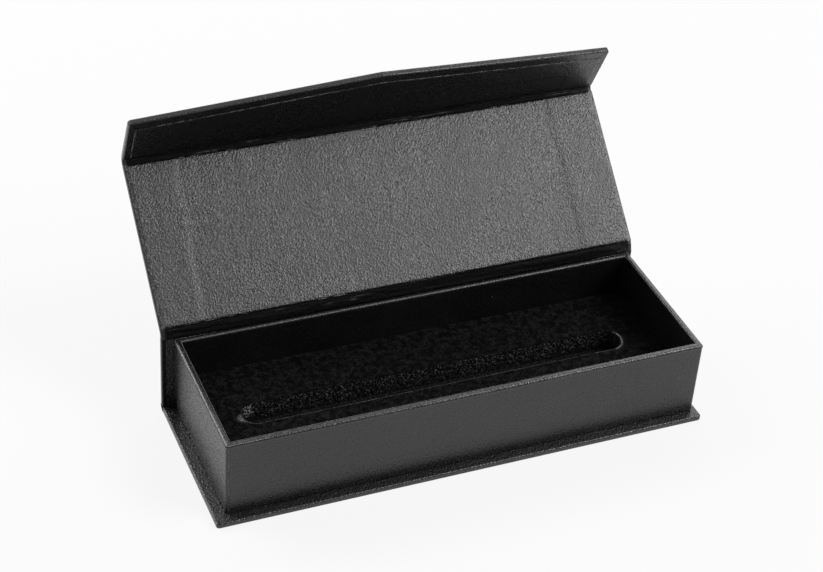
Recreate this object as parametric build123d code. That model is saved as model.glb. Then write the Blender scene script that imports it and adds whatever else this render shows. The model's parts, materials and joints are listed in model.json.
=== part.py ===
from build123d import *
import os
from math import atan2, cos, degrees, hypot, radians, sin

# A book-style gift box for one pen: a wrapped tray glued into a case of four hinged panels.
# Millimetres. Origin: centre of the base panel's underside. X along the box, Y to the spine, Z up.

# Tray
tray_length = 175.0
tray_width = 58.8
tray_height = 29.4
tray_corner_radius = 0.9
tray_shift = 1.2            # the tray is glued on a little to the right

# Case
side_ledge = 3.0            # base past the tray at the ends, before the shift
front_ledge = 4.1           # base past the tray at the front
lid_clearance = 0.45        # closed lid above the tray's rim
flap_clearance = 0.5        # closed flap in front of the tray
flap_side_length = 22.9     # flap at its ends, from the lid's inner face
flap_point_length = 29.4    # flap at the middle of its edge

# Sheets
board = 1.75
skin = 0.2
lining = 0.15
tape = 0.1
turn_in = 14.0              # wrap folded over onto the inner face
edge_round = 0.55
board_round = 0.35
corner_round = 1.2          # outer corners of the base and the flap, seen flat
board_cut = 0.9             # the board's corners under them
seam = 0.15                 # open line of a mitre

# Folds
lid_open = 138.0            # the lid as it stands, from closed
flap_fold = 74.0            # the flap as it stands, from flat with the lid
lid_end_reach = 1.09        # lid's end in front of its axis, closed
lid_axis_setback = 1.675    # lid's axis behind the tray
lid_axis_height = 1.6       # and above the closed inner face
flap_axis_depth = 1.3       # flap's axis outside the two inner faces
lid_end_gap = 1.2           # lid's front end behind the flap's inner face
flap_end_gap = 0.8          # flap's end below the lid's inner face
lid_cover_slack = 0.62      # how far each fold line runs on before it bends, of its span
lid_lining_slack = 0.36
flap_cover_slack = 0.4
flap_lining_slack = 0.3
fold_steps = 10             # flats that make up a fold line

# Linings
side_inset = 1.5
free_edge_inset = 4.0

# Tray details
rim_turn_in = 18.0
bottom_turn_in = 10.0
tape_leg = 15.0

# Magnets
magnet_diameter = 10.0
magnet_depth = 1.5
magnet_spacing = 90.0
magnet_drop = 14.0          # below the closed lid's inner face

# Insert
insert_gap = 0.3
insert_base_height = 4.0
insert_top_height = 7.6
velvet = 0.5
pile_round = 0.3            # velvet's edge round the slot
slot_length = 144.0
slot_width = 10.6
slot_back_shift = 1.0
slot_side_shift = -0.2

# Worked out
panel = skin + board + skin + lining
wrapped = skin + board + skin
half_length = tray_length / 2 + side_ledge
case_depth = front_ledge + tray_width + panel
front_y = -case_depth / 2
back_y = case_depth / 2
tray_front_y = front_y + front_ledge
tray_back_y = tray_front_y + tray_width
tray_middle_y = (tray_front_y + tray_back_y) / 2
rim_z = wrapped + tray_height
wall = skin + tape + board + skin
floor_z = wrapped + skin + board
lid_inner_z = rim_z + lid_clearance
lid_outer_z = lid_inner_z + panel
lid_axis_y = tray_back_y + lid_axis_setback
lid_axis_z = lid_inner_z + lid_axis_height
flap_inner_y = tray_front_y - flap_clearance
flap_axis_y = flap_inner_y - flap_axis_depth
flap_axis_z = lid_inner_z + flap_axis_depth
lid_start_y = lid_axis_y - lid_end_reach
lid_length = lid_start_y - (flap_inner_y + lid_end_gap)

lid_axis = Axis((0, lid_axis_y, lid_axis_z), (1, 0, 0))
flap_axis = Axis((0, flap_axis_y, flap_axis_z), (1, 0, 0))
flap_unfold = 90.0 - flap_fold
flap_drop = flap_point_length - flap_side_length
lid_heading = 180.0 - lid_open
flap_heading = lid_heading + flap_fold
full_width = 2 * half_length
lining_width = full_width - 2 * side_inset
insert_step_z = floor_z + insert_base_height
velvet_z = insert_step_z + insert_top_height


# Places. A panel is drawn flat, outer face down, and then set up closed.

def on_spine(shape):
    return Plane(origin=(0, back_y, 0), x_dir=(1, 0, 0), z_dir=(0, -1, 0)) * shape


def on_lid(shape):
    closed = Plane(origin=(0, lid_start_y, lid_outer_z), x_dir=(1, 0, 0), z_dir=(0, 0, -1)) * shape
    return closed.rotate(lid_axis, -lid_open)


def on_flap(shape):
    flap_outer_y = flap_inner_y - panel
    closed = Plane(origin=(0, flap_outer_y, lid_inner_z), x_dir=(1, 0, 0), z_dir=(0, 1, 0)) * shape
    return closed.rotate(flap_axis, -flap_unfold).rotate(lid_axis, -lid_open)


def turned(y, z, axis_y, axis_z, angle):
    # a point of the cross-section, opened by the angle about an axis
    c = cos(radians(angle))
    s = sin(radians(angle))
    dy = y - axis_y
    dz = z - axis_z
    return axis_y + dy * c + dz * s, axis_z - dy * s + dz * c


def lid_point(y, z):
    return turned(y, z, lid_axis_y, lid_axis_z, lid_open)


def flap_point(y, z):
    return lid_point(*turned(y, z, flap_axis_y, flap_axis_z, flap_unfold))


# Panels

def outline(start, end, start_inset=0.0, end_inset=0.0, sides=0.0, point=0.0):
    # a rectangle, or one whose far edge comes to a shallow point
    half = half_length - sides
    slope = point / half_length
    drop = end_inset * hypot(1, slope)
    low = start + start_inset
    corner = end + point * (1 - half / half_length) - drop
    corners = [(-half, low), (half, low), (half, corner)]
    if point:
        corners.append((0, end + point - drop))
    corners.append((-half, corner))
    return make_face(Polyline(*corners, close=True))


def covered_corners(face, start_closed, end_closed):
    corners = face.vertices().sort_by(Axis.Y)
    return (list(corners[:2]) if start_closed else []) + (list(corners[2:4]) if end_closed else [])


def soften(face, radius, start_closed, end_closed):
    # rounds the corners at a panel's covered ends
    corners = covered_corners(face, start_closed, end_closed)
    return fillet(corners, radius) if corners else face


def layer(face, bottom, top):
    return extrude(Pos(0, 0, bottom) * face, amount=top - bottom)


def panel_wrap(start, end, start_closed=False, end_closed=False, point=0.0):
    # outer skin, covered edges and the turned-in border of a panel
    def face(inset):
        return outline(start, end, inset if start_closed else 0.0, inset if end_closed else 0.0, inset, point)
    body = layer(soften(face(0.0), corner_round, start_closed, end_closed), 0, wrapped)
    open_ends = [y for y, closed in ((start, start_closed), (end, end_closed)) if not closed]
    level = body.edges().filter_by(Axis.Z, reverse=True)
    body = fillet([e for e in level if all(abs(e.center().Y - y) > skin for y in open_ends)], edge_round)
    corners = covered_corners(face(skin), start_closed, end_closed)
    body -= layer(chamfer(corners, board_cut) if corners else face(skin), skin, skin + board)
    return body - layer(face(turn_in), skin + board, wrapped)


def panel_board(start, end, start_closed=False, end_closed=False, point=0.0):
    face = outline(start, end, skin if start_closed else 0.0, skin if end_closed else 0.0, skin, point)
    corners = covered_corners(face, start_closed, end_closed)
    body = layer(chamfer(corners, board_cut) if corners else face, skin, skin + board)
    ends = body.edges().filter_by(Axis.Y).sort_by(Axis.X)
    return fillet(list(ends[:2]) + list(ends[-2:]), board_round)


def panel_lining(start, end, end_inset=0.0, end_closed=False, point=0.0):
    # lies on the turned-in border and sinks onto the board inside it
    def face(inset):
        return outline(start, end, 0.0, inset if end_closed else 0.0, inset, point)
    sheet = layer(outline(start, end, 0.0, end_inset, side_inset, point), wrapped, panel)
    sheet += layer(face(turn_in), skin + board, panel)
    return sheet - layer(face(turn_in + lining), skin + board + lining, panel)


def mitre(corner, heading, length):
    # the cut through the turned-in border, from a corner inwards
    reach = length + seam
    cut = Pos(corner[0], corner[1]) * Rot(0, 0, heading) * Pos(reach / 2, 0) * Rectangle(reach, seam)
    return layer(cut, skin + board, wrapped)


# Base and spine

def base_board():
    return panel_board(front_y, tray_back_y, start_closed=True)


def base_wrap():
    skin_body = panel_wrap(front_y, tray_back_y, start_closed=True)
    for side, heading in ((-1, 45), (1, 135)):
        skin_body -= mitre((side * half_length, front_y), heading, turn_in * hypot(1, 1))
    ring = Circle(panel) - Circle(panel - skin)
    corner = ring & Pos(panel / 2, -panel / 2) * Rectangle(panel, panel)
    bend = extrude(Plane.YZ * Pos(tray_back_y, panel) * corner, amount=half_length, both=True)
    return skin_body + bend


def spine_board():
    return on_spine(panel_board(panel, rim_z))


def spine_wrap():
    return on_spine(panel_wrap(panel, rim_z))


def spine_lining():
    return on_spine(panel_lining(panel, rim_z))


# Tray

def tray_place(shape):
    return Pos(tray_shift, tray_middle_y, 0) * shape


def tray_box(inset, bottom, top, radius=0.0):
    size = (tray_length - 2 * inset, tray_width - 2 * inset)
    face = RectangleRounded(*size, radius) if radius else Rectangle(*size)
    return layer(face, bottom, top)


def tray_wrap():
    body = tray_box(0, wrapped, rim_z, tray_corner_radius)
    body = fillet(body.faces().sort_by(Axis.Z)[-1].edges(), edge_round)
    walls = tray_box(skin, wrapped + skin, rim_z - skin, tray_corner_radius - skin)
    walls -= tray_box(wall - skin, wrapped, rim_z)
    body -= walls
    body -= tray_box(wall, wrapped + skin, rim_z)
    body -= tray_box(wall - skin, wrapped + skin, rim_z - rim_turn_in)
    body -= tray_box(bottom_turn_in, wrapped, wrapped + skin)
    return tray_place(body)


def wall_boards():
    outer = skin + tape
    ring = tray_box(outer, wrapped + skin, rim_z - skin, tray_corner_radius - outer)
    return ring - tray_box(outer + board, wrapped, rim_z)


def tray_long_wall(side):
    reach = tray_width / 2 - skin - tape - board / 2
    cut = Pos(0, side * reach, 0) * layer(Rectangle(tray_length, board), wrapped, rim_z)
    return wall_boards() & cut


def tray_end_wall(side):
    reach = tray_length / 2 - skin - tape - board / 2
    cut = Pos(side * reach, 0, 0) * layer(Rectangle(board, tray_width - 2 * (wall - skin)), wrapped, rim_z)
    return tray_place(wall_boards() & cut)


def tray_front():
    return tray_place(tray_long_wall(-1)) - keeper_plates()


def tray_back():
    return tray_place(tray_long_wall(1))


def tray_floor():
    return tray_place(tray_box(wall - skin, wrapped + skin, floor_z))


def tray_corner_tapes():
    stays = tray_box(skin, wrapped + skin, rim_z - skin, tray_corner_radius - skin)
    stays -= tray_box(skin + tape, wrapped, rim_z, tray_corner_radius - skin - tape)
    long_gap = Rectangle(tray_length - 2 * tape_leg, tray_width)
    cross_gap = Rectangle(tray_length, tray_width - 2 * tape_leg)
    return tray_place(stays - layer(long_gap + cross_gap, wrapped, rim_z))


def disc_pair(plane):
    # two discs side by side, drawn on the plane and sunk along its normal
    spots = [Pos(side * magnet_spacing / 2, 0) * Circle(magnet_diameter / 2) for side in (-1, 1)]
    return extrude(plane * Sketch(children=spots), amount=magnet_depth)


def keeper_plates():
    face_y = tray_front_y + skin + tape
    return disc_pair(Plane(origin=(0, face_y, lid_inner_z - magnet_drop), x_dir=(1, 0, 0), z_dir=(0, 1, 0)))


# Lid

def lid_board():
    return on_lid(panel_board(0, lid_length))


def lid_wrap():
    return on_lid(panel_wrap(0, lid_length))


def lid_lining():
    return on_lid(panel_lining(0, lid_length))


# Flap

def flap_plain_magnets():
    top = skin + board
    return disc_pair(Plane(origin=(0, magnet_drop, top), x_dir=(1, 0, 0), z_dir=(0, 0, -1)))


def flap_board():
    blank = panel_board(flap_end_gap, flap_side_length, end_closed=True, point=flap_drop)
    return on_flap(blank - flap_plain_magnets())


def flap_wrap():
    body = panel_wrap(flap_end_gap, flap_side_length, end_closed=True, point=flap_drop)
    tilt = degrees(atan2(flap_drop, half_length))
    diagonal = turn_in * hypot(1, 1)
    body -= mitre((-half_length, flap_side_length), -45 + tilt / 2, diagonal)
    body -= mitre((half_length, flap_side_length), -135 - tilt / 2, diagonal)
    body -= mitre((0, flap_point_length), -90, turn_in)
    return on_flap(body)


def flap_lining():
    return on_flap(panel_lining(flap_end_gap, flap_side_length, free_edge_inset, True, flap_drop))


def flap_magnets():
    return on_flap(flap_plain_magnets())


# Fold strips, drawn in the cross-section from one panel's end to the next

def fold_line(start, start_heading, end, end_heading, slack):
    a = radians(start_heading)
    b = radians(end_heading)
    reach = slack * hypot(end[0] - start[0], end[1] - start[1])
    leaving = (start[0] + reach * cos(a), start[1] + reach * sin(a))
    arriving = (end[0] - reach * cos(b), end[1] - reach * sin(b))
    curve = Bezier(start, leaving, arriving, end)
    return Polyline(*[curve @ (step / fold_steps) for step in range(fold_steps + 1)])


def between(near, far):
    return make_face([near, Line(near @ 1, far @ 1), far, Line(far @ 0, near @ 0)])


def both_ways(face, width):
    return extrude(Plane.YZ * face, amount=width / 2, both=True)


def fold_cover(outside, inside, hollow):
    # a bent sheet, with its ends turned in to close the fold
    sheet = both_ways(between(outside, inside), full_width)
    block = both_ways(between(inside, hollow), full_width)
    return sheet + block - both_ways(between(inside, hollow), lining_width)


def lid_fold_line(depth, slack):
    # depth is measured from the panels' inner faces outwards
    end = lid_point(lid_start_y, lid_inner_z + depth)
    return fold_line((tray_back_y + depth, rim_z), 90, end, lid_heading, slack)


def flap_fold_line(depth, slack):
    start = lid_point(lid_start_y - lid_length, lid_inner_z + depth)
    end = flap_point(flap_inner_y - depth, lid_inner_z - flap_end_gap)
    return fold_line(start, lid_heading, end, flap_heading, slack)


def lid_fold_cover():
    return fold_cover(
        lid_fold_line(panel, lid_cover_slack),
        lid_fold_line(panel - skin, lid_cover_slack),
        lid_fold_line(lining, lid_lining_slack),
    )


def lid_fold_lining():
    sheet = between(lid_fold_line(lining, lid_lining_slack), lid_fold_line(0, lid_lining_slack))
    return both_ways(sheet, lining_width)


def flap_fold_cover():
    return fold_cover(
        flap_fold_line(panel, flap_cover_slack),
        flap_fold_line(panel - skin, flap_cover_slack),
        flap_fold_line(lining, flap_lining_slack),
    )


def flap_fold_lining():
    sheet = between(flap_fold_line(lining, flap_lining_slack), flap_fold_line(0, flap_lining_slack))
    return both_ways(sheet, lining_width)


# Insert

def insert_outline():
    gap = 2 * (wall + insert_gap)
    return Rectangle(tray_length - gap, tray_width - gap)


def slot_outline():
    return Pos(slot_side_shift, slot_back_shift) * SlotOverall(slot_length, slot_width)


def insert_base():
    return tray_place(layer(insert_outline(), floor_z, insert_step_z))


def insert_top():
    return tray_place(layer(insert_outline() - slot_outline(), insert_step_z, velvet_z))


def insert_velvet():
    sheet = layer(insert_outline() - slot_outline(), velvet_z, velvet_z + velvet)
    rims = sheet.faces().sort_by(Axis.Z)[-1].inner_wires()[0].edges()
    return tray_place(fillet(rims, pile_round))


makers = [
    base_board, base_wrap, spine_board, spine_wrap, spine_lining,
    tray_floor, tray_front, tray_back, tray_corner_tapes, tray_wrap, keeper_plates,
    lid_board, lid_wrap, lid_lining, lid_fold_cover, lid_fold_lining,
    flap_board, flap_wrap, flap_lining, flap_magnets, flap_fold_cover, flap_fold_lining,
    insert_base, insert_top, insert_velvet,
]

os.makedirs("parts", exist_ok=True)
for make in makers:
    export_step(make(), f"parts/{make.__name__}.step")
for name, side in (("tray_left", -1), ("tray_right", 1)):
    export_step(tray_end_wall(side), f"parts/{name}.step")

print("lid axis", round(lid_axis_y, 3), round(lid_axis_z, 3))
print("flap axis", *(round(v, 3) for v in lid_point(flap_axis_y, flap_axis_z)))
print("slot floor", round(insert_step_z, 3))
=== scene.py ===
import json
from math import cos, radians, sin

import bpy
import numpy as np
from mathutils import Matrix, Vector


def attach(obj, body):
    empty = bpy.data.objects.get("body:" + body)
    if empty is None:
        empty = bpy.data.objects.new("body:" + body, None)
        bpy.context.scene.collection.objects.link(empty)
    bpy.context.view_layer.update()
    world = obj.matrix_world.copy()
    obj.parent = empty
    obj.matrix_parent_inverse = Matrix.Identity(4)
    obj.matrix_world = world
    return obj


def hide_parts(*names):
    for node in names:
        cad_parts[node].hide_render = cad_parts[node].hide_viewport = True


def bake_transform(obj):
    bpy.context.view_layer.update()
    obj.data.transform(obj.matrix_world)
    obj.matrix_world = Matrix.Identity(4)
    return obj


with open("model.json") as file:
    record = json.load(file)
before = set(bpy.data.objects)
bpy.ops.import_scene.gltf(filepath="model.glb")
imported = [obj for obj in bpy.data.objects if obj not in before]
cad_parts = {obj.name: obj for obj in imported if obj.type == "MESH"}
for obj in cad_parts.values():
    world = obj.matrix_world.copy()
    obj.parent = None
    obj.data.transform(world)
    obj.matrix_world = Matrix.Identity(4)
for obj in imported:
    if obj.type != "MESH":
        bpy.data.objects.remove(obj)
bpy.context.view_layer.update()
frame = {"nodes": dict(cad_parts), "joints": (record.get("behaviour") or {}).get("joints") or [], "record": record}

mm = 0.001


# Numbers in, meshes out

def smoothStep(t):
    # 3t^2 - 2t^3, held to 0 and 1 outside
    t = np.clip(t, 0, 1)
    return t * t * (3 - 2 * t)


def softNoise(points, size, seed):
    # value noise from -1 to 1: a lattice of random values, blended by smoothstep along each axis
    table = np.random.default_rng(seed).uniform(-1, 1, (32, 32, 32))
    p = np.asarray(points) / size
    low = np.floor(p).astype(int)
    f = smoothStep(p - low)
    total = 0
    for corner in np.ndindex(2, 2, 2):
        weight = np.prod(np.where(corner, f, 1 - f), axis=-1)
        spot = (low + corner) % 32
        total = total + weight * table[spot[..., 0], spot[..., 1], spot[..., 2]]
    return total


def roughNoise(points, size, seed, octaves=3):
    # softNoise at halving sizes, each half as strong
    return sum(softNoise(points, size / 2 ** k, seed + k) / 2 ** k for k in range(octaves))


def gridFaces(rows, cols, closeRows=False, closeCols=False):
    # quads between neighbours of a grid whose point (i, j) is number i * cols + j
    i = np.arange(rows if closeRows else rows - 1)[:, None]
    j = np.arange(cols if closeCols else cols - 1)[None, :]
    i2 = (i + 1) % rows
    j2 = (j + 1) % cols
    quads = [i * cols + j, i2 * cols + j, i2 * cols + j2, i * cols + j2]
    return np.stack(np.broadcast_arrays(*quads), -1).reshape(-1, 4)


def meshPiece(name, points, faces, material, marks=None):
    # an object at the origin from points in metres, smooth shaded, with point attributes
    mesh = bpy.data.meshes.new(name)
    flat = np.asarray(points, np.float32).reshape(-1, 3)
    mesh.vertices.add(len(flat))
    mesh.vertices.foreach_set("co", flat.ravel())
    mesh.loops.add(faces.size)
    mesh.loops.foreach_set("vertex_index", faces.astype(np.int32).ravel())
    mesh.polygons.add(len(faces))
    mesh.polygons.foreach_set("loop_start", np.arange(0, faces.size, faces.shape[1], dtype=np.int32))
    mesh.polygons.foreach_set("use_smooth", np.ones(len(faces), bool))
    mesh.update(calc_edges=True)
    for mark, values in (marks or {}).items():
        layer = mesh.attributes.new(mark, "FLOAT", "POINT")
        layer.data.foreach_set("value", np.asarray(values, np.float32).ravel())
    mesh.validate()
    mesh.materials.append(material)
    piece = bpy.data.objects.new(name, mesh)
    bpy.context.scene.collection.objects.link(piece)
    return piece


def thicken(piece, thickness):
    solid = piece.modifiers.new("thickness", "SOLIDIFY")
    solid.thickness = thickness
    solid.offset = -1
    return piece


# Camera, placed by the corners of the tray, the base and the lid

camera = {
    "place": (-0.2387, -0.4943, 0.4598),
    "azimuth": -24.61,
    "elevation": 36.37,
    "roll": 4.40,
    "lens": 88.0,
}


def makeCamera(v):
    a = radians(v["azimuth"])
    e = radians(v["elevation"])
    back = Vector((sin(a) * cos(e), -cos(a) * cos(e), sin(e)))
    right = (-back).cross(Vector((0, 0, 1))).normalized()
    up = right.cross(-back)
    turn = Matrix.Rotation(radians(v["roll"]), 3, back)
    data = bpy.data.cameras.new("camera")
    data.lens = v["lens"]
    data.clip_start = 0.01
    eye = bpy.data.objects.new("camera", data)
    axes = Matrix((turn @ right, turn @ up, back)).transposed()
    eye.matrix_world = Matrix.Translation(v["place"]) @ axes.to_4x4()
    bpy.context.scene.collection.objects.link(eye)
    bpy.context.scene.camera = eye


makeCamera(camera)
print("camera placed")


# Node helpers

def addNode(tree, kind, values=None, **settings):
    node = tree.nodes.new(kind)
    for key, value in settings.items():
        setattr(node, key, value)
    for key, value in (values or {}).items():
        if isinstance(value, bpy.types.NodeSocket):
            tree.links.new(value, node.inputs[key])
        else:
            node.inputs[key].default_value = value
    return node


def math(tree, operation, a, b=0.0, clamp=False):
    return addNode(tree, "ShaderNodeMath", {0: a, 1: b}, operation=operation, use_clamp=clamp).outputs[0]


def span(tree, value, low, high, to=(0.0, 1.0)):
    # the value between low and high, mapped smoothly to the given range
    values = {"Value": value, "From Min": low, "From Max": high, "To Min": to[0], "To Max": to[1]}
    return addNode(tree, "ShaderNodeMapRange", values, interpolation_type="SMOOTHSTEP").outputs[0]


def blendColour(tree, factor, a, b):
    node = addNode(tree, "ShaderNodeMix", {0: factor}, data_type="RGBA")
    for socket, value in ((node.inputs[6], a), (node.inputs[7], b)):
        if isinstance(value, bpy.types.NodeSocket):
            tree.links.new(value, socket)
        else:
            socket.default_value = value
    return node.outputs[2]


def grey(value, warm=0.0):
    return (value * (1 + warm), value, value * (1 - warm), 1.0)


def newGroup(name, inputs, outputs):
    group = bpy.data.node_groups.new(name, "ShaderNodeTree")
    for key, value in inputs.items():
        kind = "NodeSocketVector" if value is None else "NodeSocketFloat"
        socket = group.interface.new_socket(key, in_out="INPUT", socket_type=kind)
        if value is not None:
            socket.default_value = value
    for key in outputs:
        group.interface.new_socket(key, in_out="OUTPUT", socket_type="NodeSocketFloat")
    return group, group.nodes.new("NodeGroupInput"), group.nodes.new("NodeGroupOutput")


def useGroup(tree, group, values):
    node = tree.nodes.new("ShaderNodeGroup")
    node.node_tree = group
    for key, value in values.items():
        if isinstance(value, bpy.types.NodeSocket):
            tree.links.new(value, node.inputs[key])
        else:
            node.inputs[key].default_value = value
    return node.outputs


def startMaterial(name):
    material = bpy.data.materials.new(name)
    material.use_nodes = True
    tree = material.node_tree
    shader = tree.nodes["Principled BSDF"]
    place = tree.nodes.new("ShaderNodeTexCoord").outputs["Object"]
    return material, tree, shader, place


def bump(tree, shader, height, depth, strength=1.0):
    node = addNode(tree, "ShaderNodeBump", {"Height": height, "Distance": depth, "Strength": strength})
    tree.links.new(node.outputs["Normal"], shader.inputs["Normal"])
    return node


# Effects that several materials share

def makeGrain():
    # pressed grain: soft warped pebbles, finer wrinkles on them, and pits where they meet
    group, source, out = newGroup(
        "pressedGrain", {"Vector": None, "Size": 0.8, "Wrinkle": 0.5, "Pebble": 0.5},
        ("Height", "Pit", "Patch"),
    )
    where = source.outputs["Vector"]
    scale = math(group, "DIVIDE", 1000.0, source.outputs["Size"])
    coarse = math(group, "MULTIPLY", scale, 0.5)
    warp = addNode(group, "ShaderNodeTexNoise", {"Vector": where, "Scale": coarse})
    shift = addNode(
        group, "ShaderNodeVectorMath",
        {0: warp.outputs["Color"], 1: (0.5, 0.5, 0.5)}, operation="SUBTRACT",
    )
    scaled = addNode(group, "ShaderNodeVectorMath", {0: where, "Scale": scale}, operation="SCALE")
    bent = addNode(
        group, "ShaderNodeVectorMath",
        {0: shift.outputs[0], 1: (1.2, 1.2, 1.2), 2: scaled.outputs[0]}, operation="MULTIPLY_ADD",
    )
    cells = addNode(
        group, "ShaderNodeTexVoronoi", {"Vector": bent.outputs[0], "Scale": 1.0}, feature="SMOOTH_F1"
    )
    peel = addNode(group, "ShaderNodeTexNoise", {"Vector": bent.outputs[0], "Scale": 1.0, "Detail": 1.0})
    fine = addNode(group, "ShaderNodeTexNoise", {"Vector": bent.outputs[0], "Scale": 2.6, "Detail": 2.0})
    closeness = math(group, "SUBTRACT", 1.0, cells.outputs["Distance"])
    dome = math(group, "MULTIPLY", closeness, source.outputs["Pebble"])
    soft = math(group, "MULTIPLY", peel.outputs[0], math(group, "SUBTRACT", 2.0, source.outputs["Pebble"]))
    rough = math(group, "MULTIPLY", fine.outputs[0], source.outputs["Wrinkle"])
    group.links.new(math(group, "ADD", math(group, "ADD", dome, soft), rough), out.inputs["Height"])
    group.links.new(span(group, peel.outputs[0], 0.30, 0.48, (1.0, 0.0)), out.inputs["Pit"])
    patch = addNode(group, "ShaderNodeTexNoise", {"Vector": where, "Scale": 55.0, "Detail": 2.0})
    group.links.new(patch.outputs[0], out.inputs["Patch"])
    return group


def makeSpecks():
    # sparse light specks of dust and lint, a few to the square centimetre
    group, source, out = newGroup("dustSpecks", {"Vector": None, "Spacing": 3.0, "Share": 0.03}, ("Mask",))
    scale = math(group, "DIVIDE", 1000.0, source.outputs["Spacing"])
    dots = addNode(group, "ShaderNodeTexVoronoi", {"Vector": source.outputs["Vector"], "Scale": scale})
    spot = span(group, dots.outputs["Distance"], 0.03, 0.10, (1.0, 0.0))
    split = addNode(group, "ShaderNodeSeparateColor", {0: dots.outputs["Color"]})
    chosen = math(group, "LESS_THAN", split.outputs[0], source.outputs["Share"])
    group.links.new(math(group, "MULTIPLY", spot, chosen), out.inputs["Mask"])
    return group


grain = makeGrain()
specks = makeSpecks()


# Coated papers and leatherette

skins = {
    "leatherette": {
        "colour": 0.0090, "pit": 0.0008, "size": 0.55, "pebble": 1.0, "wrinkle": 0.6, "depth": 0.095,
        "turn": (0.0, 0.0, 0.0), "stretch": (1.0, 1.0, 1.0), "roughness": (0.14, 0.18), "pitRoughness": 0.26,
        "specular": 0.56, "specks": 0.05,
    },
    "liningPaper": {
        "colour": 0.0024, "pit": 0.0012, "size": 0.58, "pebble": 0.6, "wrinkle": 0.7, "depth": 0.160,
        "turn": (-42.0, 0.0, 35.0), "stretch": (1.0, 0.68, 1.0), "roughness": (0.24, 0.30),
        "pitRoughness": 0.08, "specular": 0.68, "specks": 0.03,
    },
}
# a lighter copy of the leatherette for the base wrap: painted light on its face-up ledge
skins["litBaseLeatherette"] = dict(skins["leatherette"], colour=0.013, pit=0.0004, size=0.75, depth=0.18)
# a darker, less shiny copy for the spine wrap: painted shade
skins["shadedSpineLeatherette"] = dict(skins["leatherette"], colour=0.005, specular=0.14, depth=0.14)
# a less shiny copy of the lining for the fold strips: its low shine is painted shade in the grooves, and its
# lighter colour shows on the crests as a painted highlight
skins["shadedFoldPaper"] = dict(
    skins["liningPaper"], colour=0.013, pit=0.0003, turn=(0.0, 0.0, 0.0), stretch=(0.55, 1.0, 1.0),
    specular=0.09, roughness=(0.34, 0.42), depth=0.17,
)

# greys of a dust speck and of a pale edge mark (a real cut edge on the linings, a painted highlight on the fold
# crests), and the scale of its fray
dust = {"speck": 0.16, "paleEdgeAndCrest": 0.12, "fray": 420.0}


def makeSkin(name, v):
    # grain in the height and the pits; where a mesh has them, one mark darkens the colour towards the pit grey,
    # painted shade in grooves and hollows, and another adds a frayed pale grey: a real cut edge on the linings, a
    # painted highlight on the fold crests
    material, tree, shader, place = startMaterial(name)
    angles = [radians(a) for a in v["turn"]]
    turned = addNode(tree, "ShaderNodeMapping", {"Vector": place, "Rotation": angles})
    laid = addNode(tree, "ShaderNodeMapping", {"Vector": turned.outputs[0], "Scale": v["stretch"]})
    values = {"Vector": laid.outputs[0], "Size": v["size"], "Wrinkle": v["wrinkle"], "Pebble": v["pebble"]}
    g = useGroup(tree, grain, values)
    s = useGroup(tree, specks, {"Vector": place, "Share": v["specks"]})
    paintedShade = addNode(tree, "ShaderNodeAttribute", attribute_name="paintedShade").outputs["Fac"]
    base = blendColour(tree, g["Pit"], grey(v["colour"]), grey(v["pit"]))
    cloudy = blendColour(tree, span(tree, g["Patch"], 0.35, 0.7), base, grey(v["colour"] * 1.35))
    # painted shade: towards the pit grey where the shade mark is set
    shaded = blendColour(tree, math(tree, "MULTIPLY", paintedShade, 0.85), cloudy, grey(v["pit"]))
    dusty = blendColour(tree, s["Mask"], shaded, grey(dust["speck"]))
    # frayed pale grey: a real cut edge on the linings, a painted highlight on the fold crests
    paleMark = addNode(tree, "ShaderNodeAttribute", attribute_name="cutEdgeAndHighlight").outputs["Fac"]
    fray = addNode(tree, "ShaderNodeTexNoise", {"Vector": place, "Scale": dust["fray"], "Detail": 3.0})
    paleEdgeAndCrest = math(tree, "MULTIPLY", paleMark, span(tree, fray.outputs[0], 0.40, 0.60))
    tree.links.new(blendColour(tree, paleEdgeAndCrest, dusty, grey(dust["paleEdgeAndCrest"])), shader.inputs["Base Color"])
    rough = span(tree, g["Patch"], 0.3, 0.7, v["roughness"])
    rough = math(tree, "ADD", rough, math(tree, "MULTIPLY", g["Pit"], v["pitRoughness"]))
    tree.links.new(math(tree, "ADD", rough, math(tree, "MULTIPLY", paintedShade, 0.25)), shader.inputs["Roughness"])
    shader.inputs["Specular IOR Level"].default_value = v["specular"]
    bump(tree, shader, g["Height"], v["depth"] * mm)
    return material


materials = {name: makeSkin(name, v) for name, v in skins.items()}


# Boards, paper tape, metal

plain = {
    "greyboard": {
        "colour": 0.20, "fleck": 0.32, "size": 1.1, "roughness": 0.9, "metal": 0.0, "depth": 0.05,
    },
    "paperTape": {
        "colour": 0.42, "fleck": 0.52, "size": 0.6, "roughness": 0.8, "metal": 0.0, "depth": 0.02,
    },
    "steelPlate": {
        "colour": 0.50, "fleck": 0.36, "size": 2.2, "roughness": 0.38, "metal": 1.0, "depth": 0.01,
    },
    "nickelPlate": {
        "colour": 0.66, "fleck": 0.60, "size": 1.6, "roughness": 0.22, "metal": 1.0, "depth": 0.005,
    },
}


def makePlain(name, v):
    material, tree, shader, place = startMaterial(name)
    stretch = addNode(tree, "ShaderNodeMapping", {"Vector": place, "Scale": (0.35, 1.0, 1.0)})
    noise = addNode(
        tree, "ShaderNodeTexNoise",
        {"Vector": stretch.outputs[0], "Scale": 1 / (v["size"] * mm), "Detail": 5.0, "Roughness": 0.65},
    )
    mask = span(tree, noise.outputs[0], 0.38, 0.66)
    base = blendColour(tree, mask, grey(v["colour"], 0.05), grey(v["fleck"], 0.05))
    tree.links.new(base, shader.inputs["Base Color"])
    low = v["roughness"]
    tree.links.new(span(tree, noise.outputs[0], 0.3, 0.7, (low, low + 0.1)), shader.inputs["Roughness"])
    shader.inputs["Metallic"].default_value = v["metal"]
    bump(tree, shader, noise.outputs[0], v["depth"] * mm)
    return material


materials.update({name: makePlain(name, v) for name, v in plain.items()})


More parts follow.
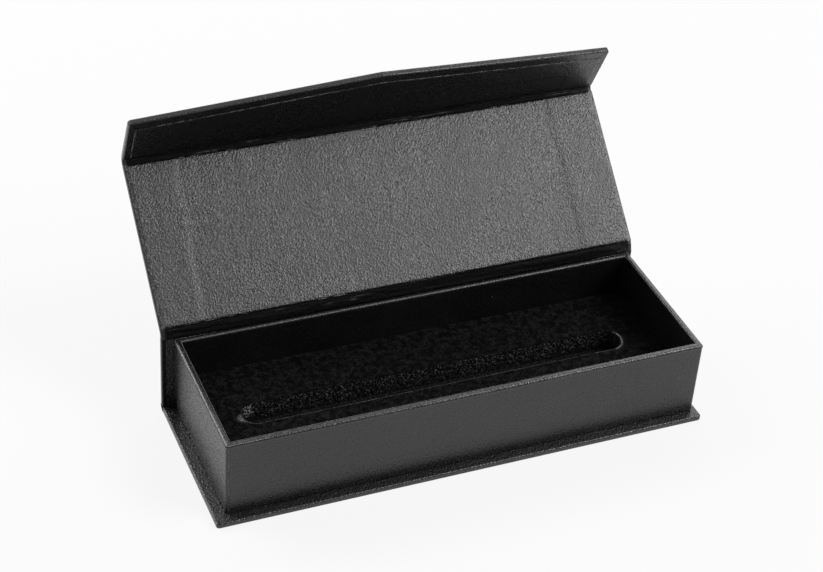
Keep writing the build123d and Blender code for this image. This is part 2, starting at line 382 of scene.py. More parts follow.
# Sponge and velvet

foam = {
    "dark": 0.0035, "light": 0.105, "dusty": 0.45, "shine": 0.12, "size": 0.52, "depth": 0.40,
    "roughness": (0.75, 0.95),
}


def makeFoam(v):
    # open cells: dark pits, lighter struts between them
    material, tree, shader, place = startMaterial("sponge")
    cells = addNode(
        tree, "ShaderNodeTexVoronoi", {"Vector": place, "Scale": 1 / (v["size"] * mm)}, feature="SMOOTH_F1"
    )
    noise = addNode(tree, "ShaderNodeTexNoise", {"Vector": place, "Scale": 2600.0, "Detail": 3.0})
    both = math(tree, "MULTIPLY", cells.outputs["Distance"], math(tree, "ADD", noise.outputs[0], 0.4))
    deep = addNode(tree, "ShaderNodeAttribute", attribute_name="deep").outputs["Fac"]
    dusty = addNode(tree, "ShaderNodeAttribute", attribute_name="dust").outputs["Fac"]
    filled = math(tree, "SUBTRACT", 0.40, math(tree, "MULTIPLY", dusty, 0.12))
    # struts darker towards the slot's floor: painted shade
    strut = math(tree, "MULTIPLY", span(tree, both, filled, 0.60), math(tree, "SUBTRACT", 1.0, deep))
    light = blendColour(tree, dusty, grey(v["light"]), grey(v["dusty"]))
    tree.links.new(blendColour(tree, strut, grey(v["dark"]), light), shader.inputs["Base Color"])
    shader.inputs["Specular IOR Level"].default_value = v["shine"]
    tree.links.new(span(tree, noise.outputs[0], 0.3, 0.7, v["roughness"]), shader.inputs["Roughness"])
    bump(tree, shader, both, v["depth"] * mm)
    return material


pile = {
    "colour": 0.0012, "brushedSheen": 0.0240, "cutEdgeAndHighlight": 0.36, "lint": 0.10, "patches": 380.0, "fibre": 0.40,
    "depth": 0.20, "shine": 0.04, "sheen": 0.01, "sheenRoughness": 0.45,
}


def makePile(v):
    # short pile: patches brushed two ways whose lighter tone is a painted sheen, fine fibre ends, and a lighter
    # edge round the slot, a painted rim light along its front
    material, tree, shader, place = startMaterial("velvet")
    patches = addNode(
        tree, "ShaderNodeTexNoise",
        {"Vector": place, "Scale": v["patches"], "Detail": 6.0, "Roughness": 0.80},
    )
    fibres = addNode(
        tree, "ShaderNodeTexNoise", {"Vector": place, "Scale": 1 / (v["fibre"] * mm), "Detail": 2.0}
    )
    # the brushed patches' lighter tone is a painted sheen
    mask = span(tree, patches.outputs[0], 0.42, 0.62)
    lit = math(tree, "MULTIPLY", mask, span(tree, fibres.outputs[0], 0.38, 0.58, (0.15, 1.0)))
    base = blendColour(tree, lit, grey(v["colour"]), grey(v["brushedSheen"]))
    # lighter edge: a painted rim light along the front run
    rim = addNode(tree, "ShaderNodeAttribute", attribute_name="cutEdgeAndHighlight").outputs["Fac"]
    paleRim = math(tree, "MULTIPLY", rim, span(tree, fibres.outputs[0], 0.35, 0.62))
    edged = blendColour(tree, paleRim, base, grey(v["cutEdgeAndHighlight"]))
    s = useGroup(tree, specks, {"Vector": place, "Spacing": 2.2, "Share": 0.02})
    tree.links.new(blendColour(tree, s["Mask"], edged, grey(v["lint"])), shader.inputs["Base Color"])
    tree.links.new(span(tree, patches.outputs[0], 0.3, 0.7, (0.85, 1.0)), shader.inputs["Roughness"])
    shader.inputs["Specular IOR Level"].default_value = v["shine"]
    shader.inputs["Sheen Weight"].default_value = v["sheen"]
    shader.inputs["Sheen Roughness"].default_value = v["sheenRoughness"]
    bump(tree, shader, math(tree, "ADD", fibres.outputs[0], patches.outputs[0]), v["depth"] * mm)
    return material


materials["sponge"] = makeFoam(foam)
materials["velvet"] = makePile(pile)
print("materials:", ", ".join(sorted(materials)))

finishOf = {
    "leatherette": "leatherette", "lining": "liningPaper", "greyboard": "greyboard",
    "paper_tape": "paperTape", "steel": "steelPlate", "magnet": "nickelPlate",
    "sponge": "sponge", "velvet": "velvet",
}


ownSkins = {
    "base_wrap": "litBaseLeatherette",      # the base wrap's lighter colour is painted light on the face-up ledge
    # the spine's darker copy is painted shade
    "spine_wrap": "shadedSpineLeatherette",
}


def dressNodes():
    # each CAD node takes the material of its slot in the record
    for row in frame["record"]["subparts"]:
        node = frame["nodes"][row["node"]]
        node.data.materials.clear()
        finish = ownSkins.get(row["node"], finishOf[row["material_slot"]])
        node.data.materials.append(materials[finish])


dressNodes()


# The case's cross-section, in millimetres: x along the box, then distance along a panel
# and off its inner face

hinges = {j["name"]: np.array(j["pos_m"]) / mm for j in frame["joints"] if j["type"] == "hinge"}
headings = {"lid": 42.0, "flap": 116.0}          # as the box stands in the photograph
starts = {"lid": (1.09, 1.6), "flap": (1.3, 1.3)}  # from the hinge: along the panel, towards its inner face
halfLength = 90.5
lidLength = 58.685
flapGap = 0.8
flapSide = 22.9
flapPoint = 29.4
sideInset = 1.5
# width of the turned-in border at the hinge and at the far edge
turnIn = {"left": (15.4, 18.4), "right": (19.4, 19.6), "flap": (14.0, 14.0)}


def along(panel):
    a = radians(headings[panel])
    return np.array([cos(a), sin(a)]), np.array([-sin(a), cos(a)])


def panelSpot(panel, x, v, n):
    # hinge axis + (start + v) along the panel + (start + n) along its inner normal
    axis = hinges[panel + "_hinge"][1:]
    ahead, inward = along(panel)
    x, v, n = np.broadcast_arrays(x, v, n)
    yz = axis + (v[..., None] + starts[panel][0]) * ahead + (n[..., None] + starts[panel][1]) * inward
    return np.concatenate([x[..., None], yz], -1) * mm


def flapEnd(x):
    # the free edge comes to a shallow point at the middle
    return flapPoint - (flapPoint - flapSide) * np.abs(x) / halfLength


# Linings: they lie on the turned-in border and sink onto the board inside it


def edged(low, high, count, close):
    # count evenly spaced values, with a few more beside each end
    near = np.array(close)
    return np.concatenate([low + near, np.linspace(low + 0.8, high - 0.8, count), high - near[::-1]])


edgeSteps = (0.0, 0.12, 0.25, 0.4, 0.6)
lidLining = {
    "columns": 290, "rows": 96, "sink": 0.2, "step": 3.4, "ripple": 0.034, "paper": 0.15,
    "edgeRoll": 0.10, "edgeWidth": 0.7, "foldDip": 0.16,
}


def borderStep(distance, width, v):
    # 0 on the border, down by the skin's thickness past its width, over a soft step
    return -v["sink"] * smoothStep((distance - width + v["step"] / 2) / v["step"])


def lidLiningSheet(v):
    # a flat grid over the lid, lowered past the border, rippled, and rolled down at its cut and folded edges
    reach = halfLength - sideInset
    x = edged(-reach, reach, v["columns"], edgeSteps)[:, None]
    a = np.linspace(0, lidLength, v["rows"])[None, :]
    x, a = np.broadcast_arrays(x, a)
    spot = np.stack([x, a, 0 * x], -1)
    wander = 0.35 * softNoise(spot, 9.0, 21)
    near, far = (np.where(x < 0, turnIn["left"][k], turnIn["right"][k]) for k in (0, 1))
    height = borderStep(halfLength - np.abs(x) + wander, near + (far - near) * a / lidLength, v)
    long = softNoise(spot * [1.0, 0.22, 1.0], 2.6, 31) + 0.7 * softNoise(spot, 11.0, 32)
    height = height + v["ripple"] * long * smoothStep((reach - np.abs(x)) / 3)
    edge = np.minimum(reach - np.abs(x), v["edgeWidth"]) / v["edgeWidth"]
    height = height - v["edgeRoll"] * (1 - np.sqrt(np.clip(1 - (1 - edge) ** 2, 0, 1)))
    fold = np.minimum(np.minimum(a, lidLength - a), 1.0)
    height = height - v["foldDip"] * (1 - fold) ** 2
    marks = {"cutEdgeAndHighlight": smoothStep(1.6 - (reach - np.abs(x)) / 0.3)}
    sheet = meshPiece(
        "lidLiningSheet", panelSpot("lid", x, a, height), gridFaces(*x.shape),
        materials["liningPaper"], marks,
    )
    return thicken(sheet, v["paper"] * mm)


sheetOne = lidLiningSheet(lidLining)
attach(sheetOne, "lid")
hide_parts("lid_lining")
print("lid lining")

flapLining = {
    "columns": 290, "rows": 44, "freeInset": 4.0, "sideInset": 2.6, "sink": 0.2, "step": 1.3,
    "ripple": 0.022, "paper": 0.15, "edgeRoll": 0.09, "edgeWidth": 0.6, "lift": 0.03,
}


def flapLiningSheet(v):
    # the same for the flap: from the fold to a line a few millimetres inside its pointed edge
    reach = halfLength - v["sideInset"]
    x = edged(-reach, reach, v["columns"], edgeSteps)[:, None]
    t = np.concatenate([np.linspace(0, 0.965, v["rows"]), 1 - np.array(edgeSteps[3::-1]) / 22])[None, :]
    edgeLine = flapEnd(x) - v["freeInset"] + 0.10 * softNoise(np.stack([x, 0 * x, 0 * x], -1), 5.0, 41)
    a = flapGap + (edgeLine - flapGap) * t
    x, a = np.broadcast_arrays(x, a)
    spot = np.stack([x, a, 0 * x], -1)
    border = np.minimum(halfLength - np.abs(x), flapEnd(x) - a)
    height = borderStep(border + 0.3 * softNoise(spot, 8.0, 42), turnIn["flap"][0], v)
    height = height + v["ripple"] * (softNoise(spot, 3.2, 43) + 0.6 * softNoise(spot, 9.0, 44))
    fromEdge = np.minimum(reach - np.abs(x), edgeLine - a)
    edge = np.minimum(fromEdge, v["edgeWidth"]) / v["edgeWidth"]
    height = height - v["edgeRoll"] * (1 - np.sqrt(np.clip(1 - (1 - edge) ** 2, 0, 1)))
    height = height + v["lift"]
    marks = {"cutEdgeAndHighlight": smoothStep(1.6 - fromEdge / 0.3)}
    sheet = meshPiece(
        "flapLiningSheet", panelSpot("flap", x, a, height), gridFaces(*x.shape),
        materials["liningPaper"], marks,
    )
    return thicken(sheet, v["paper"] * mm)


sheetTwo = flapLiningSheet(flapLining)
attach(sheetTwo, "flap")
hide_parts("flap_lining")
print("flap lining")


# Tray wrap, in millimetres

trayWrap = {
    "middle": (1.2, 0.9), "half": (87.5, 29.4), "corner": 0.9, "innerCorner": 0.35,
    "bottom": 2.17, "rim": 31.55, "wall": 2.25, "round": 0.85, "turnDown": 18.0, "turnUnder": 10.0,
    "bead": 0.13, "crown": 0.05, "seamFromCorner": 0.15, "seamDepth": 0.22, "waves": 0.05,
}


def trayRound(v, offset, runs):
    # a rounded rectangle grown by the offset: for each side, points along the run and then the corner's arc
    offset = offset[None, :]
    r = np.maximum(v["corner"] + offset, v["innerCorner"])
    hx = v["half"][0] + offset - r
    hy = v["half"][1] + offset - r
    arc = np.linspace(0, np.pi / 2, 9)[1:-1, None]
    points, normals = [], []
    for k, t in enumerate(runs):
        a = k * np.pi / 2
        c, s = round(cos(a)), round(sin(a))
        reach, wide = (hy, hx) if k % 2 == 0 else (hx, hy)
        forward = (2 * t[:, None] - 1) * reach
        out = np.broadcast_to(wide + r, forward.shape)
        bendOut = wide + r * np.cos(arc)
        bendForward = reach + r * np.sin(arc)
        o = np.concatenate([out, bendOut])
        f = np.concatenate([forward, bendForward])
        points.append(np.stack([c * o - s * f, s * o + c * f], -1))
        angle = np.concatenate([np.full(len(t), a), a + arc[:, 0]])
        normals.append(np.stack([np.cos(angle), np.sin(angle)], -1))
    return np.concatenate(points), np.concatenate(normals)


def makeTrayWrap(v):
    # one profile, from under the tray up its outside, over the rim and down inside, carried round the tray
    quarter = np.linspace(0, np.pi / 2, 7)
    r = v["round"]
    rim = v["rim"]
    up = np.concatenate([
        np.linspace(v["bottom"] + 0.3, rim - 2.6, 24), np.linspace(rim - 2.4, rim - r, 12),
    ])
    flat = np.linspace(r, v["wall"] - r, 8)[1:-1]
    down = np.linspace(rim - r, rim - v["turnDown"], 26)[1:]
    offset = np.concatenate([
        [-v["turnUnder"], -0.3, -0.08], 0 * up, -r + r * np.cos(quarter[1:]), -flat,
        -v["wall"] + r - r * np.sin(quarter), np.full(len(down), -v["wall"]),
    ])
    z = np.concatenate([
        [v["bottom"], v["bottom"], v["bottom"] + 0.09], up, rim - r + r * np.sin(quarter[1:]),
        0 * flat + rim, rim - r + r * np.cos(quarter), down,
    ])
    long = np.linspace(0, 1, 151)
    short = np.linspace(0, 1, 53)
    nearCorner = np.arange(0.06, 2.4, 0.08) / (2 * v["half"][0])
    front = np.concatenate([[0.0], nearCorner, long[long > nearCorner[-1] + 0.003]])
    points, normals = trayRound(v, offset, [short, long, short, front])
    bead = v["bead"] * np.exp(-((z - rim + 0.75) / 0.42) ** 2) * (offset > -0.6)
    top = v["crown"] * np.clip(1 - ((offset + v["wall"] / 2) / (v["wall"] / 2)) ** 2, 0, 1) * (z > rim - r)
    spot = np.concatenate([points, np.broadcast_to(z[None, :, None], points.shape[:2] + (1,))], -1)
    outward = bead[None, :] * (1 + 0.35 * softNoise(spot, 2.6, 121))
    outward = outward + v["waves"] * softNoise(spot, 26.0, 122) * (offset == 0)[None, :]
    fromLeft = points[..., 0] + v["half"][0]
    onFront = (normals[:, 1:] < -0.98) & (offset == 0)[None, :]
    line = fromLeft - v["seamFromCorner"] - v["corner"] - 0.16 * softNoise(spot, 4.0, 123)
    outward = outward - v["seamDepth"] * np.exp(-(line / 0.17) ** 2) * onFront
    outward = outward + 0.07 * np.exp(-((line - 0.42) / 0.25) ** 2) * onFront
    points = points + outward[..., None] * normals[:, None, :] + v["middle"]
    rise = top[None, :] * (1 + 0.5 * softNoise(spot, 3.0, 124))
    place = np.concatenate([points, (z[None, :] + rise)[..., None]], -1) * mm
    faces = gridFaces(*place.shape[:2], closeRows=True)
    inside = np.broadcast_to((offset < -v["wall"] + 0.05)[None, :], place.shape[:2])
    # the inner faces are darkened: painted shade inside the tray
    marks = {"paintedShade": 0.9 * inside}
    return meshPiece("trayWrapSkin", place, faces, materials["leatherette"], marks)


traySkin = thicken(makeTrayWrap(trayWrap), 0.2 * mm)
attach(traySkin, "base")
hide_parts("tray_wrap")
print("tray wrap")


# Fold strips: a bent sheet between two panels, wrinkled along the fold

coverStrip = {
    "columns": 420, "depth": 2.3, "half": 90.5, "thickness": 0.2, "skin": "leatherette",
    "slot": "leatherette", "wrinkle": 0.05,
}
liningStrip = {
    "columns": 420, "depth": 0.0, "half": 89.0, "thickness": 0.15, "skin": "shadedFoldPaper", "slot": "lining",
}
folds = {
    "lidFoldCover": dict(
        coverStrip, node="lid_fold_cover", panel="lid", bodies=("base", "lid"),
        rows=22, slack=(0.62, 0.62), seed=51,
    ),
    "lidFoldLining": dict(
        liningStrip, node="lid_fold_lining", panel="lid", bodies=("base", "lid"),
        rows=34, slack=(0.70, 0.10), wrinkle=0.20, sink=0.35, seed=61,
    ),
    "flapFoldCover": dict(
        coverStrip, node="flap_fold_cover", panel="flap", bodies=("lid", "flap"),
        rows=22, slack=(0.40, 0.40), seed=71,
    ),
    "flapFoldLining": dict(
        liningStrip, node="flap_fold_lining", panel="flap", bodies=("lid", "flap"),
        rows=30, slack=(0.12, 0.55), wrinkle=0.05, sink=0.30, seed=81,
    ),
}
spineRim = (30.3, 31.55)    # the spine's inner face and the top that its fold leaves from
coverClearance = 0.03       # between a fold's lining and its cover's turned-in ends
turnedIn = 7.0              # how far a fold's cover is turned in round its ends


def bezier(start, startAngle, end, endAngle, slack, t):
    # cubic through start and end, leaving and arriving along the given headings
    start, end = np.array(start), np.array(end)
    reach = np.array(slack) * np.hypot(*(end - start))
    leave = start + reach[0] * np.array([cos(radians(startAngle)), sin(radians(startAngle))])
    arrive = end - reach[1] * np.array([cos(radians(endAngle)), sin(radians(endAngle))])
    t = t[:, None]
    return (1 - t) ** 3 * start + 3 * t * (1 - t) ** 2 * leave + 3 * t ** 2 * (1 - t) * arrive + t ** 3 * end


def sideways(line):
    # unit normals of a line in the cross-section, to its left
    step = np.gradient(line, axis=0)
    step = step / np.linalg.norm(step, axis=1)[:, None]
    return np.stack([-step[:, 1], step[:, 0]], -1)


def turnedEnds(half, count):
    # x, and how far from the outer line to the inner one, of a sheet folded in round both ends
    bend = np.linspace(0, np.pi, 9)
    x = np.concatenate([[half - turnedIn], half - 0.5 + 0.5 * np.sin(bend[::-1])])
    depth = np.concatenate([[1.0], (1 - np.cos(bend[::-1])) / 2])
    middle = np.linspace(0.8 - half, half - 0.8, count)
    return np.concatenate([-x, middle, x[::-1]]), np.concatenate([depth, 0 * middle, depth[::-1]])


def alongFold(v, x):
    # the places where a strip's noise is read: x in millimetres, then six units across the strip
    t = np.linspace(0, 1, v["rows"])
    return t, np.stack(np.broadcast_arrays(x[:, None], 6.0 * t[None, :], 0 * x[:, None]), -1)


def carried(x, yz):
    # points in metres of a line of the cross-section at each x
    return np.concatenate([np.broadcast_to(x[:, None, None], yz.shape[:2] + (1,)), yz], -1) * mm


def turnedStrip(name, outer, inner, v):
    # outer + depth * (inner - outer), carried along x, with ridges along the fold
    x, depth = turnedEnds(v["half"], v["columns"])
    t, spot = alongFold(v, x)
    push = v["wrinkle"] * softNoise(spot * [0.07, 1.0, 1.0], 1.5, v["seed"])
    push = push * (smoothStep(np.minimum(t, 1 - t) / 0.15)[None, :] * (1 - depth[:, None]))
    yz = outer[None] + push[..., None] * sideways(outer)[None] + depth[:, None, None] * (inner - outer)[None]
    # darker where it is turned in round the ends: painted shade
    marks = {"paintedShade": 0.8 * depth[:, None] + 0 * push}
    faces = gridFaces(*push.shape)[:, ::-1]
    piece = meshPiece(name, carried(x, yz), faces, materials[v["skin"]], marks)
    return thicken(piece, v["thickness"] * mm)


def foldStrip(name, line, v):
    # the line carried along x, pushed off by ridges that run along the fold and fade at its ends
    half, seed = v["half"], v["seed"]
    x = np.linspace(-half, half, v["columns"])
    t, spot = alongFold(v, x)
    ridges = softNoise(spot * [0.055, 1.0, 1.0], 1.5, seed)
    ridges = ridges + 0.5 * softNoise(spot * [0.2, 1, 1], 1.0, seed + 1)
    push = v["wrinkle"] * ridges * smoothStep(np.minimum(t, 1 - t) / 0.15)[None, :]
    push = push * smoothStep((half - np.abs(x)) / 1.5)[:, None]
    push = push - v["sink"] * smoothStep(np.minimum(t, 1 - t) / 0.22)[None, :]
    yz = line[None] + push[..., None] * sideways(line)[None]
    # thin lighter lines on the crests along the fold, a painted highlight, and lighter towards the strip's right
    # end
    crease = softNoise(spot * [0.05, 1.0, 1.0], 0.75, seed + 2)
    crease = crease - 0.5 * np.abs(softNoise(spot * [0.3, 0, 1], 4.0, seed + 3))
    within = smoothStep(np.minimum(t, 1 - t) / 0.06)[None, :]
    crest = 0.50 * smoothStep((crease - 0.44) / 0.12)
    rightEnd = 0.22 * smoothStep((x[:, None] - 78) / 9)
    # painted shade: darker down the groove, less on the crests
    marks = {
        "paintedShade": (0.95 - 0.5 * smoothStep((crease - 0.30) / 0.2)) * within,
        "cutEdgeAndHighlight": np.maximum(crest, rightEnd) * within,
    }
    faces = gridFaces(v["columns"], v["rows"])
    piece = meshPiece(name, carried(x, yz), faces, materials[v["skin"]], marks)
    return thicken(piece, v["thickness"] * mm)


def inYz(panel, v, n):
    return panelSpot(panel, 0.0, v, n)[1:] / mm


def spots(depth, panel):
    # the rim of the spine, or the end of the lid, at a depth from the inner face outwards
    if panel == "lid":
        start = (spineRim[0] + depth, spineRim[1])
        return start, 90.0, inYz("lid", 0.0, -depth), headings["lid"]
    return inYz("lid", lidLength, -depth), headings["lid"], inYz("flap", flapGap, -depth), headings["flap"]


def makeFold(name, v):
    t = np.linspace(0, 1, v["rows"])
    line = bezier(*spots(v["depth"], v["panel"]), v["slack"], t)
    if "Cover" not in name:
        return foldStrip(name, line, v)
    under = folds[v["panel"] + "FoldLining"]
    inner = bezier(*spots(under["thickness"] + coverClearance, v["panel"]), under["slack"], t)
    dip = under["sink"] * smoothStep(np.minimum(t, 1 - t) / 0.22)
    inner = inner - dip[:, None] * sideways(inner)
    return turnedStrip(name, line, inner, v)


for name, v in folds.items():
    strip = makeFold(name, v)
    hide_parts(v["node"])
    first, _, last, _ = spots(v["depth"], v["panel"])
    first, last = (0, first[0] * mm, first[1] * mm), (0, last[0] * mm, last[1] * mm)
    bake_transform(strip)
print("fold strips")


# Insert: sponge with a slot, faced with velvet

insert = {
    "length": 169.9, "width": 53.7, "middle": (1.2, 0.9), "slot": (144.0, 10.6), "slotShift": (-0.2, 1.0),
    "floor": 8.1, "under": 4.1, "velvetFrom": 15.7, "velvetTo": 16.2,
}


def slotPath(v, count):
    # a stadium, walked anticlockwise from the right end of its front run, with its outward normals
    length, width = v["slot"]
    r = width / 2
    run = length / 2 - r
    cx = v["middle"][0] + v["slotShift"][0]
    cy = v["middle"][1] + v["slotShift"][1]
    total = 4 * run + 2 * np.pi * r
    s = np.linspace(0, total, count, endpoint=False)
    arc = np.pi * r
    quarter = np.pi / 2
    right = s < arc
    back = (s >= arc) & (s < arc + 2 * run)
    left = (s >= arc + 2 * run) & (s < 2 * arc + 2 * run)
    where = [right, back, left]
    a = np.select(where, [-quarter + s / r, quarter + 0 * s, quarter + (s - arc - 2 * run) / r], -quarter)
    x = np.select(where, [run + 0 * s, run - (s - arc), -run + 0 * s], -run + (s - 2 * arc - 2 * run))
    normal = np.stack([np.cos(a), np.sin(a)], -1)
    return np.stack([cx + x, cy + 0 * x], -1) + r * normal, normal


def boxPath(v, slotLine, normals):
    # where each of the slot's points meets the insert's outline: straight out from the runs,
    # fanned at the ends
    mx, my = v["middle"]
    halfX = v["length"] / 2
    halfY = v["width"] / 2
    length, width = v["slot"]
    run = length / 2 - width / 2
    cx = mx + v["slotShift"][0]
    atEnd = np.abs(normals[:, 0]) > 1e-9
    side = np.where(normals[:, 0] > 0, 1, -1)
    endRoom = np.where(side > 0, mx + halfX - cx - run, cx - run - (mx - halfX))
    across, up = np.abs(normals[:, 0]), np.abs(normals[:, 1])
    share = up / np.maximum(across + up, 1e-9)
    toEdge = np.sign(normals[:, 1]) * halfY
    onSide = share > 0.5
    x = np.where(onSide, cx + side * (run + endRoom * np.clip(2 - 2 * share, 0, 1)), mx + side * halfX)
    y = np.where(onSide, my + toEdge, my + toEdge * np.clip(2 * share, 0, 1))
    x = np.where(atEnd, x, slotLine[:, 0])
    y = np.where(atEnd, y, my + toEdge)
    return np.stack([x, y], -1)


velvetSheet = {
    "around": 760, "across": 62, "round": 0.42, "uneven": 0.12, "lip": 0.03,
    "fuzzAt": (-70.6, 0.6), "fuzzRadius": 1.9,     # lint at the slot's left end
}


def makeVelvet(v):
    # rings from the slot's edge out to the insert's edge, rounded over both edges and closed underneath
    slotLine, normals = slotPath(insert, v["around"])
    outer = boxPath(insert, slotLine, normals)
    r = v["round"]
    low, high = insert["velvetFrom"], insert["velvetTo"]
    turn = np.linspace(0, np.pi / 2, 6)
    inset = np.concatenate([[0], r * (1 - np.cos(turn))])
    rise = np.concatenate([[low], high - r + r * np.sin(turn)])
    middle = smoothStep(np.linspace(0, 1, v["across"]))[1:-1]
    gap = outer - slotLine
    reach = np.linalg.norm(gap, axis=1)[:, None]
    fromSlot = inset[None, :] / reach
    share = np.concatenate([
        fromSlot, fromSlot[:, -1:] + (1 - 2 * fromSlot[:, -1:]) * middle[None, :], 1 - fromSlot[:, ::-1]
    ], 1)
    z = np.concatenate([rise, np.full(len(middle), high), rise[::-1]])
    xy = slotLine[:, None, :] + share[..., None] * gap[:, None, :]
    spot = np.concatenate([xy, 0 * xy[..., :1]], -1)
    away = share * reach
    top = smoothStep((z - low) / (high - low))[None, :]
    uneven = roughNoise(spot, 2.4, 91) * v["uneven"] + 0.10 * softNoise(spot, 14.0, 95)
    lip = v["lip"] * np.exp(-((away - 0.45) / 0.3) ** 2) * (1 + 0.7 * softNoise(spot, 1.1, 97))
    z = z[None, :] + top * (uneven * smoothStep(away / 1.0) - 0.10 + lip)
    ragged = 0.10 * softNoise(spot, 0.9, 98) * np.exp(-away / 0.8) * top
    xy = xy + ragged[..., None] * normals[:, None, :]
    points = np.concatenate([xy, z[..., None]], -1) * mm
    # lighter along the front run, a painted rim light on the rounded edge, and, wider, round the right end
    front = smoothStep(-normals[:, 1:] / 0.5)
    right = smoothStep(normals[:, :1] / 0.5) * smoothStep((0.75 - normals[:, 1:]) / 0.4)
    paleMark = np.exp(-((away - 0.16) / 0.17) ** 2) * front + np.exp(-((away - 0.30) / 0.45) ** 2) * right
    fuzz = np.exp(-(np.linalg.norm(xy - v["fuzzAt"], axis=-1) / v["fuzzRadius"]) ** 4)
    marks = {"cutEdgeAndHighlight": np.clip(paleMark * top + 0.8 * fuzz, 0, 1)}
    faces = gridFaces(v["around"], xy.shape[1], closeRows=True, closeCols=True)
    return meshPiece("velvetFace", points, faces, materials["velvet"], marks)


velvetFace = makeVelvet(velvetSheet)
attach(velvetFace, "insert")
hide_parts("insert_velvet")
print("velvet")

spongeBlock = {"around": 860, "down": 26, "crumble": 0.30, "pit": 0.9}
# a patch of rubbed fibres, and painted shade that deepens towards the slot's floor
rubbedPatchAndShade = {"centre": (-67.0, 6.6, 13.2), "radii": (1.9, 2.8, 2.7), "dark": 0.75, "lit": 13.5, "fade": 6.0}


def foamMarks(points):
    # rubbed fibres gathered on the wall near the slot's left end, and less light towards its floor
    away = np.linalg.norm((points - rubbedPatchAndShade["centre"]) / np.array(rubbedPatchAndShade["radii"]), axis=-1)
    deep = rubbedPatchAndShade["dark"] * smoothStep((rubbedPatchAndShade["lit"] - points[..., 2]) / rubbedPatchAndShade["fade"])
    return {"dust": np.exp(-away ** 4), "deep": deep * (1 - np.exp(-away ** 2))}


def makeSpongeTop(v):
    # the slot's torn wall, carried round the stadium; the other faces are plain
    slotLine, normals = slotPath(insert, v["around"])
    outer = boxPath(insert, slotLine, normals)
    depth = np.linspace(0, 1, v["down"])
    z = insert["velvetFrom"] + (insert["floor"] - insert["velvetFrom"]) * depth
    wall = np.concatenate([
        np.broadcast_to(slotLine[:, None, :], (v["around"], v["down"], 2)),
        np.broadcast_to(z[None, :, None], (v["around"], v["down"], 1)),
    ], -1)
    rough = roughNoise(wall, v["pit"], 101, 2) * v["crumble"]
    rough = np.minimum(rough, 0.12) * smoothStep(np.minimum(depth, 1 - depth) / 0.08)[None, :]
    wall = wall + np.concatenate([-rough[..., None] * normals[:, None, :], 0 * rough[..., None]], -1)
    low = np.concatenate([outer, np.full((v["around"], 1), insert["floor"])], -1)[:, None]
    high = np.concatenate([outer, np.full((v["around"], 1), insert["velvetFrom"])], -1)[:, None]
    points = np.concatenate([wall, low, high], 1) * mm
    faces = gridFaces(v["around"], v["down"] + 2, closeRows=True, closeCols=True)[:, ::-1]
    return meshPiece("spongeTop", points, faces, materials["sponge"], foamMarks(points / mm))


spongeTop = makeSpongeTop(spongeBlock)
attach(spongeTop, "insert")
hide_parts("insert_top")

spongeFloor = {"fine": 0.42, "crumble": 0.30, "pit": 0.9}


def makeSpongeBase(v):
    # a slab whose top is torn and grainy along the slot
    mx, my = insert["middle"]
    cx, cy = mx + insert["slotShift"][0], my + insert["slotShift"][1]
    halfX, halfY = insert["length"] / 2, insert["width"] / 2
    runX, runY = insert["slot"][0] / 2 - 0.2, insert["slot"][1] / 2 - 0.2
    alongX = np.linspace(cx - runX, cx + runX, int(2 * runX / v["fine"]))
    alongY = np.linspace(cy - runY, cy + runY, int(2 * runY / v["fine"]))
    x = np.concatenate([[mx - halfX], alongX, [mx + halfX]])
    y = np.concatenate([[my - halfY], alongY, [my + halfY]])
    top = np.stack(np.meshgrid(x, y, [insert["floor"]], indexing="ij"), -1)[:, :, 0]
    inside = smoothStep(runX - np.abs(top[..., 0] - cx)) * smoothStep(runY - np.abs(top[..., 1] - cy))
    top[..., 2] += np.minimum(roughNoise(top, v["pit"], 111, 2) * v["crumble"], 0.25) * inside
    bottom = top.copy()
    bottom[..., 2] = insert["under"]
    rows, cols = len(x), len(y)
    up = gridFaces(rows, cols)
    rim = np.concatenate([
        np.arange(rows) * cols, (rows - 1) * cols + np.arange(1, cols),
        np.arange(rows - 2, -1, -1) * cols + cols - 1, np.arange(cols - 2, 0, -1),
    ])
    after = np.roll(rim, -1)
    sides = np.stack([rim, rim + rows * cols, after + rows * cols, after], -1)
    faces = np.concatenate([up, up[:, ::-1] + rows * cols, sides])
    points = np.concatenate([top.reshape(-1, 3), bottom.reshape(-1, 3)])
    return meshPiece("spongeBase", points * mm, faces, materials["sponge"], foamMarks(points))


spongeBase = makeSpongeBase(spongeFloor)
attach(spongeBase, "insert")
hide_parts("insert_base")
print("sponge")


# Floor, lights and background

studio = {
    "worldFill": 0.10,      # what the white surround gives to matt surfaces
    "darkSide": 0.30,       # the unlit room behind the camera, as reflections show it
    "lamps": {
        "key": {"power": 18.0, "size": (0.80, 0.9), "from": (1.02, -0.60, 1.10), "aim": (0.0, 0.05, 0.06)},
        "back": {"power": 9.0, "size": (1.6, 0.6), "from": (0.55, 1.25, 1.00), "aim": (0.0, 0.0, 0.03)},
        "side": {"power": 14.0, "size": (0.9, 0.8), "from": (-0.80, 0.95, 0.85), "aim": (0.0, 0.0, 0.02)},
    },
    "floorReach": 3.0,      # metres from the middle to each edge
    "floorGrey": 0.82,
    "floorGlow": 0.86,      # how much of the floor's white doesn't depend on its shade
}


def seenDirectly(tree):
    # 1 for rays from the camera, in reflections and through glass
    path = tree.nodes.new("ShaderNodeLightPath").outputs
    either = math(tree, "MAXIMUM", path["Is Camera Ray"], path["Is Glossy Ray"])
    return math(tree, "MAXIMUM", either, path["Is Transmission Ray"])


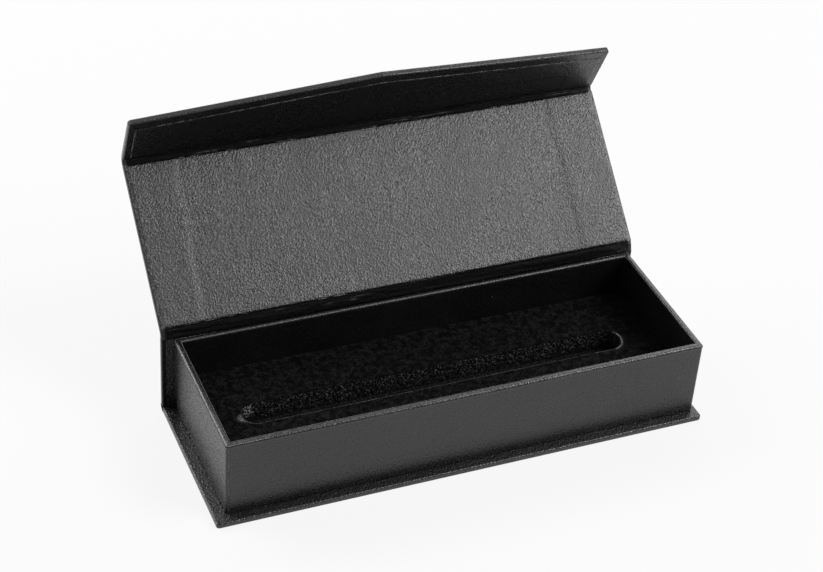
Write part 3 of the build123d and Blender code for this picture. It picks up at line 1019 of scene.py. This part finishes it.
def makeWorld(v):
    world = bpy.data.worlds.new("surround")
    bpy.context.scene.world = world
    world.use_nodes = True
    tree = world.node_tree
    back = tree.nodes["Background"]
    back.inputs["Color"].default_value = grey(1.0)
    toward = tree.nodes.new("ShaderNodeTexCoord").outputs["Generated"]
    way = addNode(tree, "ShaderNodeSeparateXYZ", {0: toward})
    front = span(tree, way.outputs["Y"], -0.75, -0.15, (v["darkSide"], 1.0))
    path = tree.nodes.new("ShaderNodeLightPath").outputs
    shown = math(tree, "MAXIMUM", front, path["Is Camera Ray"])
    strength = addNode(tree, "ShaderNodeMix", {0: seenDirectly(tree), 2: v["worldFill"], 3: shown})
    tree.links.new(strength.outputs[0], back.inputs["Strength"])


def makeFloor(v):
    # a matt floor that keeps the shadow, under a white glow of strength 1 that the camera and
    # reflections see alike
    corners = v["floorReach"] * np.array([[-1, -1, 0], [1, -1, 0], [1, 1, 0], [-1, 1, 0]], float)
    mesh = bpy.data.meshes.new("floor")
    mesh.from_pydata(corners.tolist(), [], [[0, 1, 2, 3]])
    floor = bpy.data.objects.new("floor", mesh)
    bpy.context.scene.collection.objects.link(floor)
    material = bpy.data.materials.new("floor")
    material.use_nodes = True
    tree = material.node_tree
    tree.nodes.clear()
    shaded = addNode(tree, "ShaderNodeBsdfDiffuse", {"Color": grey(v["floorGrey"])})
    glow = addNode(tree, "ShaderNodeEmission", {"Color": grey(1.0), "Strength": 1.0})
    part = math(tree, "MULTIPLY", seenDirectly(tree), v["floorGlow"])
    mix = addNode(tree, "ShaderNodeMixShader", {0: part, 1: shaded.outputs[0], 2: glow.outputs[0]})
    out = tree.nodes.new("ShaderNodeOutputMaterial")
    tree.links.new(mix.outputs[0], out.inputs["Surface"])
    mesh.materials.append(material)


def makeLamp(name, v):
    data = bpy.data.lights.new(name, "AREA")
    data.shape = "RECTANGLE"
    data.size, data.size_y = v["size"]
    data.energy = v["power"]
    lamp = bpy.data.objects.new(name, data)
    lamp.location = v["from"]
    aim = Vector(v["aim"]) - Vector(v["from"])
    lamp.rotation_euler = aim.to_track_quat("-Z", "Y").to_euler()
    bpy.context.scene.collection.objects.link(lamp)


makeWorld(studio)
makeFloor(studio)
for name, v in studio["lamps"].items():
    makeLamp(name, v)
bpy.context.scene.view_settings.view_transform = "Standard"
print("studio")
